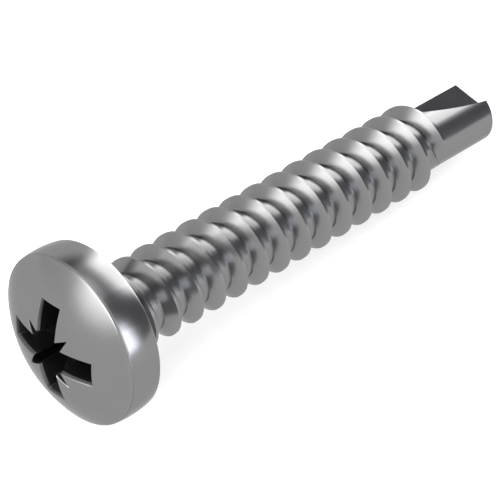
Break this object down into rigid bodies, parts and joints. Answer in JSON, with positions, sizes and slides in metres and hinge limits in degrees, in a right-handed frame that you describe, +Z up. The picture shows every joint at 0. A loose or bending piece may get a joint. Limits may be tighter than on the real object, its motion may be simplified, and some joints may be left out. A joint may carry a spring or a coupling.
{
  "type": "self drilling screw",
  "caption": "Steel screw with a domed pan head, a cross recess with nicks between its wings, a tapping thread and a fluted drill point.",
  "frame": {"origin": "on the surface the screw lies on, below the middle of its overall length and width", "axes": "+X along the screw from its head to its drill point, +Z up, and +Y makes the frame right-handed; the screw's own axis lies in the XZ plane and dips 5.81 degrees from +X towards the point, because the screw rests on the rim of its head and on its last crest"},
  "size_m": [0.0375, 0.011, 0.011],
  "materials": {
    "steel": "bright zinc plated steel, smooth and lightly clouded, with soft reflections"
  },
  "bodies": {
    "root": {"screw": "steel"}
  },
  "joints": []
}
